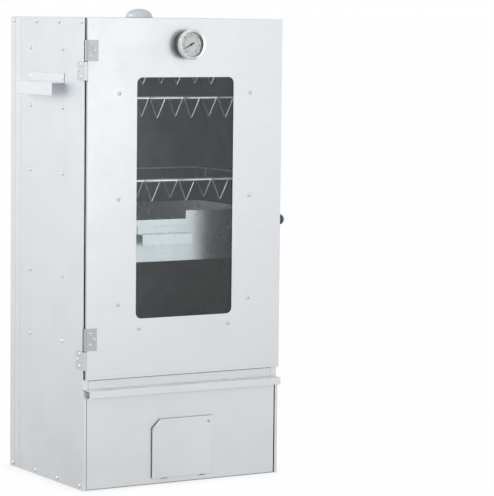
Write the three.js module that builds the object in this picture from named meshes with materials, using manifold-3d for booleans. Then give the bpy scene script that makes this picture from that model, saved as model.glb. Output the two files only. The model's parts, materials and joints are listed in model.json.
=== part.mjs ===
// Electric cabinet smoker in folded galvanised sheet: a chamber with a glazed door, a fire drawer
// with a draft flap below it, hook bars and a grease tray inside, and a heater box on the back.
// Millimetres, +X to the right as seen from the front, +Y to the back, +Z up. The origin is the
// middle of the underside of the floor.

import * as THREE from 'three';
import { mergeVertices } from 'three/addons/utils/BufferGeometryUtils.js';
import Module from 'manifold-3d';

const wasm = await Module();
wasm.setup();

// ---------------------------------------------------------------- driving dimensions
const WIDTH = 400;
const DEPTH = 288;
const HEIGHT = 832;
const SHEET = 1;
const GAP = 0.3; // clearance between pieces that lie against each other

const HALF = WIDTH / 2;
const FRONT = -DEPTH / 2; // plane of the front frame
const BACK = DEPTH / 2;
const INSIDE = HALF - SHEET - GAP; // half width of what fits between the side walls

const FRAME_EDGE = HALF - 11.5; // inner edge of the side walls' front flanges
const SILL_WEB_Z = 178;
const DRAWER_ZONE_TOP = SILL_WEB_Z - GAP; // below this the side walls reach further forward
const DRAWER_ZONE_PROUD = 6;
const DRAWER_ZONE_EDGE = HALF - 5.4;
const BACK_BAND = 19; // how far the back panel wraps round the sides

const SILL_LIP_REACH = 22;
const SILL_FLANGE_TOP = 194.5;
const SILL_LIP_BOTTOM = 166;
const SILL_LIP_HALF = 196.4;

const DOOR = { left: -196, right: 200, bottom: 196.6, top: HEIGHT, thick: 8, hem: 5 };
const DOOR_FACE = FRONT - DOOR.thick;
const WINDOW = { half: 98.5, bottom: 301, top: 728, corner: 11 };
const HINGE = { x: -199, y: DOOR_FACE, radius: 2.6, pin: 1.5 };
const HINGE_SEATS = [
  { name: 'upper', doorLeaf: [757, 793], bodyLeaf: [723, 755] },
  { name: 'lower', doorLeaf: [249, 288], bodyLeaf: [214.5, 246.6] },
];

const DRAWER = { left: -193.8, right: 192.2, bottom: 1.6, top: 165 };
const DRAWER_PAN = { half: 180, depth: 215, top: 74 };
const DRAWER_FACE = FRONT - DRAWER_ZONE_PROUD;
const FLAP = { left: -63.5, right: 62, bottom: 11, top: 117.5, chamfer: 17 };
const FLAP_PIVOT = { x: 52.5, z: 107 };
const FLAP_HOLE = { left: -50, right: 42, bottom: 22, top: 100 };

const HANDLE = { from: 74, to: 218, top: 733, web: 716, bottom: 694, reach: 25.5 };
const HANDLE_RIVETS = { depths: [80, 210], z: 724.5 };

const RIVET_GRIP_DEPTHS = [80, 209];
const RAILS = [
  { name: 'top', rivet: 777, shelf: 745 },
  { name: 'middle', rivet: 672.5, shelf: 683.5 },
  { name: 'lower', rivet: 556, shelf: 531.5 },
  { name: 'tray', rivet: 374, shelf: 393.5 },
  { name: 'bottom', rivet: 257, shelf: 247 },
];
const RAIL = { from: 25, to: 262, width: 18, margin: 9 };

const HOOK_BAR_DEPTH = 150;
const HOOK = { pitch: 72, count: 5, reach: 30, drop: 37, bar: 2.5, wire: 1.25 };
const HOOK_BARS = [
  { name: 'top', shelf: 745, shift: -19 },
  { name: 'middle', shelf: 683.5, shift: 12 },
  { name: 'lower', shelf: 531.5, shift: 2 },
];

const TRAY = { half: 187, from: 60, to: 270, height: 91, notch: 15, notch_left: -75, notch_right: 40 };
const THERMOMETER = { z: 786.2, radius: 26, depth: 21.5 };
const LATCH = { depth: 17, z: 466, ball: 10.3, ball_x: 212 };
const VENT = { y: 24, hole: 16, rim: 25.5, height: 16, pivot: 54 };
const HEATER_Z = 112;
const HEATER_BOX = { half: 56, bottom: 66, top: 158, depth: 42 };

// ---------------------------------------------------------------- materials
const steel = (color, roughness) =>
  new THREE.MeshStandardMaterial({ color, roughness, metalness: 0.9 });
const plain = (color, roughness) =>
  new THREE.MeshStandardMaterial({ color, roughness, metalness: 0 });

const materials = {
  sheet: steel(0xd5dadd, 0.42),
  tray: steel(0xd8dcde, 0.22),
  hinge: steel(0xb9bcbd, 0.45),
  wire: steel(0xc9cccd, 0.3),
  chrome: steel(0xe2e4e5, 0.12),
  heater: steel(0x4a4745, 0.55),
  dial: plain(0xf2f2ef, 0.6),
  black: plain(0x17181a, 0.35),
  pointer: plain(0x202022, 0.5),
  lamp: plain(0xc8401c, 0.25),
  glass: new THREE.MeshStandardMaterial({
    color: 0x5a6266, roughness: 0.08, metalness: 0, transparent: true, opacity: 0.5,
  }),
};

// ---------------------------------------------------------------- solids
const AXES = {
  x: new THREE.Vector3(1, 0, 0),
  y: new THREE.Vector3(0, 1, 0),
  z: new THREE.Vector3(0, 0, 1),
};

function signedVolume(positions, triangles) {
  const [a, b, c] = [new THREE.Vector3(), new THREE.Vector3(), new THREE.Vector3()];
  let sum = 0;
  for (let t = 0; t < triangles.length; t += 3) {
    a.fromArray(positions, 3 * triangles[t]);
    b.fromArray(positions, 3 * triangles[t + 1]);
    c.fromArray(positions, 3 * triangles[t + 2]);
    sum += a.dot(b.cross(c));
  }
  return sum / 6;
}

// A manifold-3d solid from a closed three.js geometry, whichever way its faces turn. Places are
// rounded to a tenth of a micron, so that faces meant to be flush are exactly flush.
const GRID = 1e4;

function solid(geometry) {
  const bare = new THREE.BufferGeometry();
  bare.setAttribute('position', geometry.getAttribute('position'));
  if (geometry.index) bare.setIndex(geometry.index);
  const welded = mergeVertices(bare, 1e-4);
  const places = welded.getAttribute('position').array;
  const vertProperties = Float32Array.from(places, (v) => Math.round(v * GRID) / GRID);
  const triVerts = new Uint32Array(welded.index.array);
  if (signedVolume(vertProperties, triVerts) < 0) triVerts.reverse();
  return new wasm.Manifold(new wasm.Mesh({ numProp: 3, vertProperties, triVerts }));
}

function union(pieces) {
  return pieces.reduce((whole, piece) => whole.add(piece));
}

function cut(body, holes) {
  return holes.reduce((left, hole) => left.subtract(hole), body);
}

function box(x0, x1, y0, y1, z0, z1) {
  const geometry = new THREE.BoxGeometry(x1 - x0, y1 - y0, z1 - z0);
  geometry.translate((x0 + x1) / 2, (y0 + y1) / 2, (z0 + z1) / 2);
  return solid(geometry);
}

// Turns a geometry whose axis is +Y so that it lies along a direction, and moves it.
function aim(geometry, direction, at) {
  const turn = new THREE.Quaternion().setFromUnitVectors(AXES.y, direction.clone().normalize());
  geometry.applyQuaternion(turn);
  geometry.translate(at.x, at.y, at.z);
  return geometry;
}

const point = (x, y, z) => new THREE.Vector3(x, y, z);

// A round bar from one point to another.
function bar(from, to, radius, sides = 8) {
  const span = to.clone().sub(from);
  const geometry = new THREE.CylinderGeometry(radius, radius, span.length(), sides);
  return solid(aim(geometry, span, from.clone().add(to).multiplyScalar(0.5)));
}

// A turned piece: profile pairs are [radius, distance along the axis from the point at].
function turned(profile, direction, at, sides = 32) {
  const points = profile.map(([radius, along]) => new THREE.Vector2(radius, along));
  return solid(aim(new THREE.LatheGeometry(points, sides), direction, at));
}

// A flat plate cut from a shape drawn in X and Z, between two Y planes.
function plate(shape, y0, y1, curveSegments = 6) {
  const options = { depth: y1 - y0, bevelEnabled: false, curveSegments };
  const geometry = new THREE.ExtrudeGeometry(shape, options);
  geometry.rotateX(Math.PI / 2);
  geometry.translate(0, y1, 0);
  return solid(geometry);
}

function roundedRectangle(x0, x1, z0, z1, r) {
  const shape = new THREE.Shape();
  shape.moveTo(x0 + r, z0);
  shape.lineTo(x1 - r, z0);
  shape.absarc(x1 - r, z0 + r, r, -Math.PI / 2, 0);
  shape.lineTo(x1, z1 - r);
  shape.absarc(x1 - r, z1 - r, r, 0, Math.PI / 2);
  shape.lineTo(x0 + r, z1);
  shape.absarc(x0 + r, z1 - r, r, Math.PI / 2, Math.PI);
  shape.lineTo(x0, z0 + r);
  shape.absarc(x0 + r, z0 + r, r, Math.PI, 1.5 * Math.PI);
  shape.closePath();
  return shape;
}

function polygon(points) {
  return new THREE.Shape(points.map(([x, z]) => new THREE.Vector2(x, z)));
}

const mirrored = (body) => body.mirror([1, 0, 0]);
const onSide = (side, body) => (side === 'left' ? mirrored(body) : body);

// ---------------------------------------------------------------- rivets
const RIVET = { head: 3.6, rise: 1.4, shank: 1.9, hole: 2.35, sides: 6 };

// A blind rivet whose head bears on a face at the point at, with its shank going back along -out.
function rivet(at, out, grip) {
  const profile = [
    [0, -grip],
    [RIVET.shank, -grip],
    [RIVET.shank, 0],
    [RIVET.head, 0],
    [RIVET.head * 0.62, RIVET.rise],
    [0, RIVET.rise],
  ];
  return turned(profile, out, at, RIVET.sides);
}

function rivetHole(at, out) {
  const reach = out.clone().multiplyScalar(4);
  return bar(at.clone().sub(reach), at.clone().add(reach), RIVET.hole, RIVET.sides);
}

// ---------------------------------------------------------------- the assembly
const model = new THREE.Group();
const MERGE = 0.01; // vertices closer than this after the booleans become one

function add(name, body, material) {
  const { vertProperties, triVerts, numProp } = body.asOriginal().simplify(MERGE).getMesh();
  const geometry = new THREE.BufferGeometry();
  if (numProp !== 3) throw new Error(`${name} has ${numProp} values a vertex`);
  geometry.setAttribute('position', new THREE.BufferAttribute(new Float32Array(vertProperties), 3));
  geometry.setIndex(new THREE.BufferAttribute(new Uint32Array(triVerts), 1));
  geometry.computeVertexNormals();
  const mesh = new THREE.Mesh(geometry, material);
  mesh.name = name;
  model.add(mesh);
}

// ---------------------------------------------------------------- cabinet shell
const WALL_RIVET_DEPTHS = [8.8, 96, 185];
const CORNER_RIVET_DEPTH = 275;
const ROOF_RIVET_Z = 824.5;
const FLOOR_RIVET_Z = 7;

// Rivets that join a flange inside the right wall to the wall: [depth, z, head face].
function edgeRivets(z) {
  const through = WALL_RIVET_DEPTHS.map((depth) => [depth, z, HALF + GAP]);
  return [...through, [CORNER_RIVET_DEPTH, z, HALF + GAP + SHEET + GAP]];
}

const wallPoint = ([depth, z, face]) => point(face, FRONT + depth, z);

function wallHoles() {
  const spots = [...edgeRivets(ROOF_RIVET_Z), ...edgeRivets(FLOOR_RIVET_Z)];
  for (const { rivet: z } of RAILS) {
    for (const depth of RIVET_GRIP_DEPTHS) spots.push([depth, z, HALF]);
  }
  for (const depth of HANDLE_RIVETS.depths) spots.push([depth, HANDLE_RIVETS.z, HALF]);
  return spots.map((spot) => rivetHole(wallPoint(spot), AXES.x));
}

function sidePanel() {
  const back = BACK - SHEET - GAP;
  const proud = FRONT - DRAWER_ZONE_PROUD;
  const folded = union([
    box(HALF - SHEET, HALF, FRONT, back, 0, HEIGHT),
    box(FRAME_EDGE, HALF, FRONT, FRONT + SHEET, DRAWER_ZONE_TOP, HEIGHT),
    box(HALF - SHEET, HALF, proud, FRONT, 0, DRAWER_ZONE_TOP),
    box(DRAWER_ZONE_EDGE, HALF, proud, proud + SHEET, 0, DRAWER_ZONE_TOP),
  ]);
  return cut(folded, wallHoles());
}

function leafRivetSpots([bottom, top]) {
  const middle = (bottom + top) / 2;
  return [[8.5, middle + 11.5], [16.5, middle + 1.5], [8.5, middle - 10]];
}

function leftPanel() {
  const holes = HINGE_SEATS.flatMap(({ bodyLeaf }) =>
    leafRivetSpots(bodyLeaf).map(([depth, z]) =>
      rivetHole(point(-HALF, FRONT + depth, z), AXES.x)));
  return cut(mirrored(sidePanel()), holes);
}

function rightPanel() {
  const at = point(HALF, FRONT + LATCH.depth, LATCH.z);
  const hole = bar(at.clone().setX(HALF - 5), at.clone().setX(HALF + 5), 3.6, 16);
  return cut(sidePanel(), [hole]);
}

function backPanel() {
  const outer = HALF + GAP + SHEET;
  const folded = union([
    box(-outer, outer, BACK - SHEET, BACK, 0, HEIGHT),
    box(HALF + GAP, outer, BACK - BACK_BAND, BACK, 0, HEIGHT),
    box(-outer, -HALF - GAP, BACK - BACK_BAND, BACK, 0, HEIGHT),
  ]);
  const holes = [ROOF_RIVET_Z, FLOOR_RIVET_Z].flatMap((z) =>
    [-outer, outer].map((x) => rivetHole(point(x, FRONT + CORNER_RIVET_DEPTH, z), AXES.x)));
  const heaterHoles = [-1, 1].map((side) =>
    bar(point(side * HEATER.half, BACK - 9, HEATER_Z), point(side * HEATER.half, BACK + 9, HEATER_Z), 7, 16));
  const bulbHole = bar(point(0, BACK - 9, HEATER_Z), point(0, BACK + 9, HEATER_Z), 4, 12);
  return cut(folded, [...holes, ...heaterHoles, bulbHole]);
}

function withEdgeRivets(folded, z) {
  const rivets = edgeRivets(z).flatMap((spot) => {
    const at = wallPoint(spot);
    const right = rivet(at, AXES.x, at.x - INSIDE + SHEET / 2);
    return [right, mirrored(right)];
  });
  return union([folded, ...rivets]);
}

function roofPanel() {
  const front = FRONT + SHEET + GAP;
  const back = BACK - SHEET - GAP;
  const flangeBottom = HEIGHT - 17;
  const folded = union([
    box(-INSIDE, INSIDE, front, back, HEIGHT - SHEET, HEIGHT),
    box(-INSIDE, INSIDE, front, front + SHEET, HEIGHT - 32, HEIGHT),
    box(INSIDE - SHEET, INSIDE, front, back, flangeBottom, HEIGHT),
    box(-INSIDE, -INSIDE + SHEET, front, back, flangeBottom, HEIGHT),
  ]);
  const vent = bar(point(0, VENT.y, HEIGHT - 5), point(0, VENT.y, HEIGHT + 5), VENT.hole, 24);
  const pivot = bar(point(0, VENT.pivot, HEIGHT - 5), point(0, VENT.pivot, HEIGHT + 5), 1.6, 10);
  return cut(withEdgeRivets(folded, ROOF_RIVET_Z), [vent, pivot]);
}

function floorPanel() {
  const proud = FRONT - DRAWER_ZONE_PROUD;
  const back = BACK - SHEET - GAP;
  const hem = DRAWER_ZONE_EDGE - GAP;
  const folded = union([
    box(-INSIDE, INSIDE, proud + SHEET + GAP, back, 0, SHEET),
    box(-hem, hem, proud, proud + SHEET + GAP, 0, SHEET),
    box(INSIDE - SHEET, INSIDE, FRONT + 2, back, 0, 15),
    box(-INSIDE, -INSIDE + SHEET, FRONT + 2, back, 0, 15),
  ]);
  return withEdgeRivets(folded, FLOOR_RIVET_Z);
}

function sillRail() {
  const front = FRONT + SHEET + GAP;
  return union([
    box(-INSIDE, INSIDE, front, front + SHEET, 150, 199),
    box(-INSIDE, INSIDE, front, front + 16, 199 - SHEET, 199),
  ]);
}

// The folded lip under the door: flange on the frame, web forward, lip down.
function sillLip() {
  const front = FRONT - SILL_LIP_REACH;
  const flangeHalf = FRAME_EDGE - GAP;
  return union([
    box(-flangeHalf, flangeHalf, FRONT, FRONT + SHEET, SILL_WEB_Z, SILL_FLANGE_TOP),
    box(-flangeHalf, flangeHalf, front, FRONT + SHEET, SILL_WEB_Z, SILL_WEB_Z + SHEET),
    box(-SILL_LIP_HALF, SILL_LIP_HALF, front, FRONT - GAP, SILL_WEB_Z, SILL_WEB_Z + SHEET),
    box(-SILL_LIP_HALF, SILL_LIP_HALF, front, front + SHEET, SILL_LIP_BOTTOM, SILL_WEB_Z + SHEET),
  ]);
}

// ---------------------------------------------------------------- side handles and rails
function sideHandle() {
  const inner = HALF + GAP;
  const outer = HALF + HANDLE.reach;
  const y0 = FRONT + HANDLE.from;
  const y1 = FRONT + HANDLE.to;
  const rivets = HANDLE_RIVETS.depths.map((depth) =>
    rivet(point(inner + SHEET, FRONT + depth, HANDLE_RIVETS.z), AXES.x, 5));
  return union([
    box(inner, inner + SHEET, y0, y1, HANDLE.web, HANDLE.top),
    box(inner, outer, y0, y1, HANDLE.web, HANDLE.web + SHEET),
    box(outer - SHEET, outer, y0, y1, HANDLE.bottom, HANDLE.web + SHEET),
    ...rivets,
  ]);
}

function rackRail({ rivet: rivetZ, shelf }) {
  const y0 = FRONT + RAIL.from;
  const y1 = FRONT + RAIL.to;
  const legBottom = Math.min(shelf - SHEET, rivetZ - RAIL.margin);
  const legTop = Math.max(shelf, rivetZ + RAIL.margin);
  const rivets = RIVET_GRIP_DEPTHS.map((depth) =>
    rivet(point(HALF + GAP, FRONT + depth, rivetZ), AXES.x, HALF + GAP - INSIDE + SHEET / 2));
  return union([
    box(INSIDE - SHEET, INSIDE, y0, y1, legBottom, legTop),
    box(INSIDE - RAIL.width, INSIDE, y0, y1, shelf - SHEET, shelf),
    ...rivets,
  ]);
}

// ---------------------------------------------------------------- hooks, rack frame and tray
function doubleHook(x, barZ) {
  const y = FRONT + HOOK_BAR_DEPTH;
  const tipRise = 2;
  const outline = [
    [-2 * HOOK.reach, tipRise],
    [-HOOK.reach, -HOOK.drop],
    [0, HOOK.bar],
    [HOOK.reach, -HOOK.drop],
    [2 * HOOK.reach, tipRise],
  ].map(([dy, dz]) => point(x, y + dy, barZ + dz));
  return union(outline.slice(1).map((end, i) => bar(outline[i], end, HOOK.wire, 5)));
}

function hookBar({ shelf, shift }) {
  const y = FRONT + HOOK_BAR_DEPTH;
  const z = shelf + GAP + HOOK.bar;
  const end = INSIDE - SHEET - 1.5;
  const hooks = Array.from({ length: HOOK.count }, (_, i) =>
    doubleHook(shift + (i - (HOOK.count - 1) / 2) * HOOK.pitch, z));
  return union([bar(point(-end, y, z), point(end, y, z), HOOK.bar, 8), ...hooks]);
}

// A wire frame open at the front, standing on the lower rails by four feet.
function rackFrame() {
  const side = INSIDE - 14;
  const z = 548;
  const [front, back] = [FRONT + 40, BACK - 10];
  const footTo = RAILS[2].shelf + GAP;
  const wire = 1.6;
  const feet = [-side, side].flatMap((x) => [FRONT + 45, FRONT + 240].map((y) =>
    bar(point(x, y, footTo), point(x, y, z), wire, 8)));
  const corners = [-side, side].map((x) => {
    const ball = new THREE.IcosahedronGeometry(wire * 1.1, 1);
    ball.translate(x, back, z);
    return solid(ball);
  });
  return union([
    bar(point(-side, front, z), point(-side, back, z), wire),
    bar(point(side, front, z), point(side, back, z), wire),
    bar(point(-side, back, z), point(side, back, z), wire),
    ...feet,
    ...corners,
  ]);
}

function greaseTray() {
  const z0 = RAILS[3].shelf + GAP;
  const z1 = z0 + TRAY.height;
  const y0 = FRONT + TRAY.from;
  const y1 = FRONT + TRAY.to;
  const t = SHEET;
  const outer = box(-TRAY.half, TRAY.half, y0, y1, z0, z1);
  const hollow = box(-TRAY.half + t, TRAY.half - t, y0 + t, y1 - t, z0 + t, z1 + 1);
  const notch = box(TRAY.notch_left, TRAY.notch_right, y0 - 1, y0 + t + 1, z1 - TRAY.notch, z1 + 1);
  return cut(outer, [hollow, notch]);
}

function trayHandle() {
  const web = RAILS[3].shelf + 50;
  const face = FRONT + TRAY.from - GAP;
  const [left, right] = [-60, 43];
  const reach = 20;
  return union([
    box(left, right, face - SHEET, face, web, web + 14),
    box(left, right, face - reach, face, web, web + SHEET),
    box(left, right, face - reach, face - reach + SHEET, web - 19, web + SHEET),
  ]);
}

// ---------------------------------------------------------------- heater
const HEATER = { half: 70, radius: 4, from: 70, bend: 22 };

function heatingElement() {
  const front = FRONT + HEATER.from;
  const path = new THREE.CurvePath();
  const [left, right] = [-HEATER.half, HEATER.half];
  const r = HEATER.bend;
  const end = BACK + 16;
  path.add(new THREE.LineCurve3(point(left, end, HEATER_Z), point(left, front + r, HEATER_Z)));
  path.add(new THREE.QuadraticBezierCurve3(
    point(left, front + r, HEATER_Z), point(left, front, HEATER_Z), point(left + r, front, HEATER_Z)));
  path.add(new THREE.LineCurve3(point(left + r, front, HEATER_Z), point(right - r, front, HEATER_Z)));
  path.add(new THREE.QuadraticBezierCurve3(
    point(right - r, front, HEATER_Z), point(right, front, HEATER_Z), point(right, front + r, HEATER_Z)));
  path.add(new THREE.LineCurve3(point(right, front + r, HEATER_Z), point(right, end, HEATER_Z)));
  const section = new THREE.Shape();
  section.absarc(0, 0, HEATER.radius, 0, 2 * Math.PI);
  const options = { steps: 44, extrudePath: path, curveSegments: 3 };
  return solid(new THREE.ExtrudeGeometry(section, options));
}

// The plate inside the back wall that the heater legs are brazed into.
function elementFlange() {
  const face = BACK - SHEET - GAP;
  const body = box(-HEATER.half - 18, HEATER.half + 18, face - 2, face, HEATER_Z - 18, HEATER_Z + 18);
  const bulb = bar(point(0, face - 5, HEATER_Z), point(0, face + 5, HEATER_Z), BULB.radius + GAP, 12);
  return cut(body, [bulb]);
}

const BULB = { radius: 2.6, reach: 70 };

// The thermostat: a body in the terminal box, its sensing bulb, and the dial's shaft.
function thermostatBody() {
  const back = BACK + HEATER_BOX.depth - SHEET - GAP;
  return union([
    bar(point(0, BACK - BULB.reach, HEATER_Z), point(0, BACK + 14, HEATER_Z), BULB.radius, 12),
    bar(point(0, BACK + 12, HEATER_Z), point(0, back, HEATER_Z), 17, 24),
    bar(point(0, back - 2, HEATER_Z), point(0, back + 12, HEATER_Z), 3, 12),
  ]);
}

function terminalBox() {
  const { half, bottom, top, depth } = HEATER_BOX;
  const y0 = BACK + GAP;
  const y1 = BACK + depth;
  const outer = box(-half - 30, half + 30, y0, y1, bottom, top);
  const hollow = box(-half - 29, half + 29, y0 - 1, y1 - SHEET, bottom + SHEET, top - SHEET);
  const shaft = bar(point(0, y1 - 5, HEATER_Z), point(0, y1 + 5, HEATER_Z), 3.4, 16);
  const lamp = bar(point(LAMP_X, y1 - 5, HEATER_Z), point(LAMP_X, y1 + 5, HEATER_Z), LAMP_R + GAP, 16);
  const inlet = box(-INLET.x - INLET.half_w - GAP, -INLET.x + INLET.half_w + GAP, y1 - 5, y1 + 5,
    HEATER_Z - INLET.half_h - GAP, HEATER_Z + INLET.half_h + GAP);
  return cut(outer, [hollow, shaft, lamp, inlet]);
}

const LAMP_X = 50;
const LAMP_R = 5;
const INLET = { x: 52, half_w: 13.5, half_h: 10, deep: 20, flange: 3 };

function pilotLamp() {
  const wall = BACK + HEATER_BOX.depth;
  const profile = [
    [0, -14], [LAMP_R, -14], [LAMP_R, GAP], [LAMP_R + 1.6, GAP], [LAMP_R + 1.2, 3], [3, 5], [0, 5.4],
  ];
  return turned(profile, AXES.y, point(LAMP_X, wall, HEATER_Z), 16);
}

// The appliance inlet, a socket open to the back.
function applianceInlet() {
  const wall = BACK + HEATER_BOX.depth;
  const { x, half_w, half_h, deep, flange } = INLET;
  const block = (grow, from, to) =>
    box(-x - half_w - grow, -x + half_w + grow, from, to, HEATER_Z - half_h - grow, HEATER_Z + half_h + grow);
  const socket = block(0, wall - deep, wall + flange);
  const rim = block(4, wall + GAP, wall + flange);
  const well = block(-2, wall - deep + 3, wall + flange + 1);
  return cut(union([socket, rim]), [well]);
}

function thermostatDial() {
  const wall = BACK + HEATER_BOX.depth;
  const knob = turned([[0, 1.5], [19, 1.5], [19, 4], [14.5, 5], [13.5, 17], [0, 17.6]], AXES.y,
    point(0, wall, HEATER_Z), 28);
  const grip = box(-14, 14, wall + 8, wall + 21, HEATER_Z - 3, HEATER_Z + 3);
  const bore = bar(point(0, wall - 1, HEATER_Z), point(0, wall + 13, HEATER_Z), 3 + GAP, 16);
  return cut(union([knob, grip]), [bore]);
}

// ---------------------------------------------------------------- vent
// A domed lid over the roof hole, swivelling on a rivet through the ear behind it.
function ventLid() {
  const z = HEIGHT + GAP;
  const dome = turned([
    [0, 0.8], [VENT.rim - 2, 0.8], [VENT.rim - 1, 0], [VENT.rim, 0], [VENT.rim, 1],
    [23.5, 4.6], [20.5, 8.4], [16, 11.8], [10.5, 14.4], [5, 15.7], [0, VENT.height],
  ], AXES.z, point(0, VENT.y, z), 24);
  const hollow = turned([
    [0, -1], [23.2, -1], [22.2, 3.8], [19.2, 7.6], [14.8, 10.6], [9.6, 13], [4.6, 14.2], [0, 14.5],
  ], AXES.z, point(0, VENT.y, z), 24);
  const ear = box(-6, 6, VENT.y + 23.8, VENT.pivot + 6, z, z + SHEET);
  const pivot = bar(point(0, VENT.pivot, z - 5), point(0, VENT.pivot, z + 5), 1.6, 10);
  return cut(union([cut(dome, [hollow]), ear]), [pivot]);
}

function ventPivot() {
  const profile = [
    [0, -4], [3, -4], [3, -SHEET - GAP], [1.3, -SHEET - GAP], [1.3, 1.8], [2.6, 1.8], [1.9, 3], [0, 3],
  ];
  return turned(profile, AXES.z, point(0, VENT.pivot, HEIGHT), 10);
}

// ---------------------------------------------------------------- door
const WINDOW_RIVETS = [
  [-133.5, 700], [-134, 514], [-133.5, 327.7],
  [133.5, 700], [134, 514], [133.5, 327.7],
  [-92, 283], [92, 283],
];

const doorSpot = (x, z) => point(x, DOOR_FACE, z);
const OUTWARD = point(0, -1, 0);
const HEM_RISE = 0.5; // the turned-up hem along the door's bottom edge

function doorPanel() {
  const { left, right, bottom, top } = DOOR;
  const back = FRONT - SHEET;
  const pan = union([
    box(left, right, DOOR_FACE, DOOR_FACE + SHEET, bottom, top),
    box(left, left + SHEET, DOOR_FACE, back, bottom, top),
    box(right - SHEET, right, DOOR_FACE, back, bottom + 5, top),
    box(left, right, DOOR_FACE, back, bottom, bottom + SHEET),
    box(left, right, DOOR_FACE - HEM_RISE, DOOR_FACE + SHEET / 2, bottom, bottom + DOOR.hem),
    box(left, right, DOOR_FACE, back, top - SHEET, top),
  ]);
  const { half, corner } = WINDOW;
  const outline = roundedRectangle(-half, half, WINDOW.bottom, WINDOW.top, corner);
  const opening = plate(outline, DOOR_FACE - 1, DOOR_FACE + 2);
  const stem = bar(point(0, DOOR_FACE - 2, THERMOMETER.z), point(0, DOOR_FACE + 3, THERMOMETER.z), 4.4, 16);
  const rivets = WINDOW_RIVETS.map(([x, z]) => rivetHole(doorSpot(x, z), AXES.y));
  const leaves = HINGE_SEATS.flatMap(({ doorLeaf }) =>
    doorLeafSpots(doorLeaf).map(([x, z]) => rivetHole(doorSpot(x, z), AXES.y)));
  return cut(pan, [opening, stem, ...rivets, ...leaves]);
}

const PANE = { half: 114, bottom: 287, top: 743, thick: 3 };
const PANE_FRONT = DOOR_FACE + SHEET + GAP;

function windowGlass() {
  return box(-PANE.half, PANE.half, PANE_FRONT, PANE_FRONT + PANE.thick, PANE.bottom, PANE.top);
}

// A stepped strip behind the door that holds one edge of the pane, with its rivets.
function stepStrip(from, to, z0, z1) {
  const back = PANE_FRONT + PANE.thick + GAP;
  const seat = DOOR_FACE + SHEET + GAP;
  return union([
    box(PANE.half + GAP, to, seat, seat + SHEET, z0, z1),
    box(PANE.half + GAP, PANE.half + GAP + SHEET, seat, back + SHEET, z0, z1),
    box(from, PANE.half + GAP + SHEET, back, back + SHEET, z0, z1),
  ]);
}

function sideStrip() {
  const rivets = WINDOW_RIVETS.filter(([x]) => x > PANE.half).map(([x, z]) =>
    rivet(doorSpot(x, z).setY(DOOR_FACE - GAP), OUTWARD, GAP + SHEET + GAP + SHEET / 2));
  return union([stepStrip(PANE.half - 9, 143, PANE.bottom + 8, PANE.top), ...rivets]);
}

function bottomStrip() {
  const back = PANE_FRONT + PANE.thick + GAP;
  const seat = PANE_FRONT;
  const edge = PANE.bottom - GAP;
  const half = PANE.half - 2;
  const rivets = WINDOW_RIVETS.filter(([x]) => Math.abs(x) < PANE.half).map(([x, z]) =>
    rivet(doorSpot(x, z).setY(DOOR_FACE - GAP), OUTWARD, GAP + SHEET + GAP + SHEET / 2));
  return union([
    box(-half, half, seat, seat + SHEET, edge - 16, edge),
    box(-half, half, seat, back + SHEET, edge - SHEET, edge),
    box(-half, half, back, back + SHEET, edge - SHEET, PANE.bottom + 7.5),
    ...rivets,
  ]);
}

function doorLeafSpots([bottom, top]) {
  const middle = (bottom + top) / 2;
  return [[-189.3, middle + 10.5], [-181.5, middle + 0.5], [-189.3, middle - 9]];
}

// A round rod on the door hinge's axis.
const hingeRod = ([bottom, top], radius, sides) =>
  bar(point(HINGE.x, HINGE.y, bottom), point(HINGE.x, HINGE.y, top), radius, sides);

function doorLeaf([bottom, top]) {
  const face = DOOR_FACE - GAP;
  const leaf = box(HINGE.x, -176.5, face - 1.2, face, bottom, top);
  const knuckle = hingeRod([bottom, top], HINGE.radius, 20);
  const bore = hingeRod([bottom - 1, top + 1], HINGE.pin + GAP, 16);
  const rivets = doorLeafSpots([bottom, top]).map(([x, z]) =>
    rivet(point(x, face - 1.2, z), OUTWARD, 1.2 + GAP + SHEET + 1));
  return union([cut(union([leaf, knuckle]), [bore]), ...rivets]);
}

function bodyLeaf([bottom, top]) {
  const face = -HALF - GAP;
  const strap = box(face - 1.2, face, HINGE.y, FRONT + 23.5, bottom, top);
  const knuckle = hingeRod([bottom, top], HINGE.radius, 20);
  const bore = hingeRod([bottom - 1, top + 1], HINGE.pin + GAP, 16);
  const rivets = leafRivetSpots([bottom, top]).map(([depth, z]) =>
    rivet(point(face - 1.2, FRONT + depth, z), point(-1, 0, 0), 1.2 + GAP + SHEET + 1));
  return union([cut(union([strap, knuckle]), [bore]), ...rivets]);
}

function hingePin({ doorLeaf: [, top], bodyLeaf: [bottom] }) {
  return turned([[0, -1], [HINGE.pin, -1], [HINGE.pin, top - bottom - 2], [0, top - bottom - 1]],
    AXES.z, point(HINGE.x, HINGE.y, bottom), 16);
}

// ---------------------------------------------------------------- thermometer
const CASE_BACK = DOOR_FACE - GAP;

function thermometerCase() {
  const { radius, depth, z } = THERMOMETER;
  const wall = radius - 1.2;
  return turned([
    [0, 0], [wall - 3, 0], [wall, 2], [wall, depth], [wall - 1.2, depth], [wall - 1.2, 2.5], [0, 2.5],
  ], OUTWARD, point(0, CASE_BACK, z), 28);
}

function thermometerBezel() {
  const { radius, depth, z } = THERMOMETER;
  const inner = radius - 1.2 + GAP;
  return turned([
    [inner, depth - 6], [radius + 0.6, depth - 6], [radius + 0.6, depth + 1.2], [radius - 1, depth + 2.4],
    [radius - 4, depth + 1.4], [radius - 4, depth + GAP], [inner, depth + GAP], [inner, depth - 6],
  ], OUTWARD, point(0, CASE_BACK, z), 28);
}

function thermometerDial() {
  const { radius, depth, z } = THERMOMETER;
  const [low, high] = [depth - 6.5, depth - 5.5];
  const rim = radius - 2.8;
  const face = turned([[0, low], [rim, low], [rim, high], [0, high]], OUTWARD, point(0, CASE_BACK, z), 28);
  const hole = bar(point(0, CASE_BACK - low + 4, z), point(0, CASE_BACK - high - 4, z), 1.3, 12);
  return cut(face, [hole]);
}

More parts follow.
